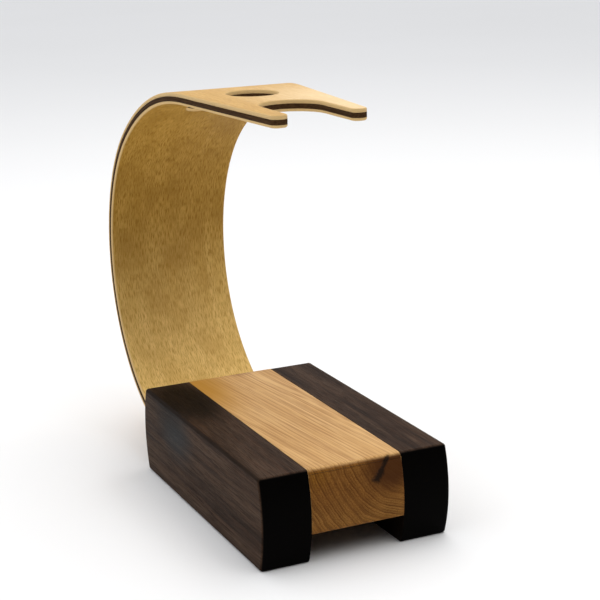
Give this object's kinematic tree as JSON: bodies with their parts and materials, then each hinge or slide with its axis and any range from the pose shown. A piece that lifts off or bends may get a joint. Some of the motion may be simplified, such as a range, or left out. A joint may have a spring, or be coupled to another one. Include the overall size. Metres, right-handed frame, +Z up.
{
  "type": "razor stand",
  "caption": "Free-standing wooden shaving stand: a laminated block base and a bent plywood arm with a brush slot and round hanging holes.",
  "frame": {"origin": "centre of the base's footprint, on the plane the rails stand on", "axes": "+X to the right seen from the front, +Y to the rear where the arm rises, +Z up"},
  "size_m": [0.075, 0.188, 0.1572],
  "materials": {
    "dark_wood": "oiled, satin",
    "light_wood": "oiled, satin",
    "inner_veneer": "satin",
    "core_veneer": "matt",
    "outer_veneer": "satin",
    "screw_brass": "satin"
  },
  "bodies": {
    "root": {"left_rail": "dark_wood", "right_rail": "dark_wood", "centre_strip": "light_wood", "arm_inner_ply": "inner_veneer", "arm_core_ply": "core_veneer", "arm_outer_ply": "outer_veneer", "arm_screws": "screw_brass"}
  },
  "joints": []
}
